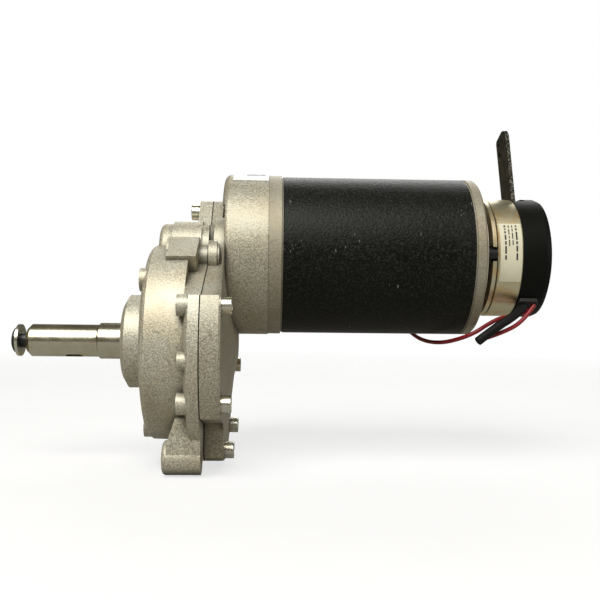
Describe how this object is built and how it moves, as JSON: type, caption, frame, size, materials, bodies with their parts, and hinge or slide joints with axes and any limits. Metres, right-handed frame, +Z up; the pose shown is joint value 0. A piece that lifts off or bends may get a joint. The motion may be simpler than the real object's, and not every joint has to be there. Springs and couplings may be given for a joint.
{
  "type": "electric motor",
  "caption": "Brushed DC gearmotor with an offset spur gearbox, keyed output shaft, black motor tube and spring-applied brake with a hand release lever.",
  "frame": {"origin": "on the output shaft's axis, in the plane of the gearbox's three tapped mounting holes", "axes": "+X along the shafts from the output end to the brake, +Z up towards the release lever's tip, +Y away from the leads' side"},
  "size_m": [0.2815, 0.1319, 0.1799],
  "materials": {
    "cast_aluminium": "shot-blasted die casting",
    "machined_aluminium": "fine cast and turned",
    "black_tube": "satin black powder coat",
    "polished_steel": "ground and polished",
    "zinc_screw": "bright zinc plate",
    "black_oxide_screw": "black oxide",
    "yellow_zinc": "yellow zinc plate",
    "gear_steel": "hobbed and oiled",
    "bearing_steel": "ground",
    "black_rubber": "matte",
    "gasket_paper": "dark sealed fibre",
    "magnet_ferrite": "dark ferrite",
    "rotor_laminations": "varnished laminations",
    "copper_wire": "enamelled copper",
    "commutator_copper": "turned copper",
    "carbon": "pressed carbon",
    "brush_plastic": "moulded phenolic",
    "spring_steel": "drawn wire",
    "friction_lining": "pressed lining",
    "brake_plate_zinc": "zinc plate",
    "cover_plastic": "matt black moulding",
    "lever_steel": "blackened steel",
    "lead_black": "matt sheath",
    "lead_red": "satin insulation",
    "terminal_brass": "tinned",
    "label_paper": "cream sticker",
    "label_white": "white sticker"
  },
  "bodies": {
    "casing": {"gearbox_cover": "cast_aluminium", "gearbox_housing": "cast_aluminium", "gearbox_gasket": "gasket_paper", "output_seal": "black_rubber", "output_bearing_front": "bearing_steel", "output_bearing_rear": "bearing_steel", "intermediate_bearing_front": "bearing_steel", "intermediate_bearing_rear": "bearing_steel", "casing_screws": "zinc_screw", "top_lug_screw": "zinc_screw", "motor_front_cap": "machined_aluminium", "motor_tube": "black_tube", "field_magnets": "magnet_ferrite", "motor_rear_cap": "machined_aluminium", "motor_bearing_front": "bearing_steel", "motor_bearing_rear": "bearing_steel", "motor_shaft_seal": "black_rubber", "rotor_tail_bearing": "bearing_steel", "motor_through_bolts": "zinc_screw", "brush_spring_upper": "spring_steel", "brush_spring_lower": "spring_steel", "brush_holder": "brush_plastic", "brake_mounting_plate": "brake_plate_zinc", "brake_magnet_body": "yellow_zinc", "brake_coil": "copper_wire", "brake_springs": "spring_steel", "brake_screws": "black_oxide_screw", "lever_pivot_pin": "bearing_steel", "lever_brackets": "brake_plate_zinc", "brake_cover": "cover_plastic", "cover_posts": "cover_plastic", "cover_screws": "zinc_screw", "cable_gland": "black_rubber", "brake_lead": "lead_black", "motor_lead_short": "lead_red", "motor_lead_long": "lead_red", "lead_terminal": "terminal_brass", "gearbox_label": "label_white", "brake_label": "label_paper"},
    "output_train": {"output_shaft": "polished_steel", "output_gear_key": "gear_steel", "output_gear": "gear_steel", "shaft_end_bolt": "black_oxide_screw", "shaft_end_washer": "zinc_screw"},
    "intermediate_train": {"intermediate_pinion_shaft": "gear_steel", "intermediate_gear": "gear_steel"},
    "rotor": {"rotor_shaft": "polished_steel", "rotor_core": "rotor_laminations", "rotor_windings": "copper_wire", "commutator": "commutator_copper", "motor_pinion": "gear_steel", "brake_hub": "polished_steel", "brake_friction_disc": "friction_lining"},
    "upper_brush": {"brush_upper": "carbon"},
    "lower_brush": {"brush_lower": "carbon"},
    "armature": {"brake_armature_plate": "yellow_zinc", "release_studs": "zinc_screw"},
    "hand_lever": {"release_lever": "lever_steel"}
  },
  "joints": [
    {"name": "output_spin", "type": "hinge", "parent": "casing", "child": "output_train", "pos_m": [0, 0, 0], "axis": [1, 0, 0], "continuous": true},
    {"name": "intermediate_spin", "type": "hinge", "parent": "casing", "child": "intermediate_train", "pos_m": [0, 0.03514, 0.03046], "axis": [1, 0, 0], "continuous": true},
    {"name": "rotor_spin", "type": "hinge", "parent": "casing", "child": "rotor", "pos_m": [0, 0.0072, 0.0472], "axis": [1, 0, 0], "continuous": true},
    {"name": "lever_pull", "type": "hinge", "parent": "casing", "child": "hand_lever", "pos_m": [0.1979, 0.0072, 0.0442], "axis": [0, 1, 0], "range_deg": [0, 6], "stiffness_Nm_per_rad": 4, "springref_deg": -5.73},
    {"name": "armature_lift", "type": "slide", "parent": "casing", "child": "armature", "axis": [1, 0, 0], "range_m": [0, 0.00044]},
    {"name": "upper_brush_slide", "type": "slide", "parent": "casing", "child": "upper_brush", "axis": [0, 0, 1], "range_m": [0, 0.003], "stiffness_N_per_m": 150, "springref_m": -0.01, "deforming": ["brush_spring_upper"]},
    {"name": "lower_brush_slide", "type": "slide", "parent": "casing", "child": "lower_brush", "axis": [0, 0, -1], "range_m": [0, 0.003], "stiffness_N_per_m": 150, "springref_m": -0.01, "deforming": ["brush_spring_lower"]}
  ],
  "couplings": [
    {"joint": "intermediate_spin", "follows": "rotor_spin", "ratio": -0.22642},
    {"joint": "output_spin", "follows": "rotor_spin", "ratio": 0.05434},
    {"joint": "armature_lift", "follows": "lever_pull", "m_per_rad": 0.0042}
  ]
}
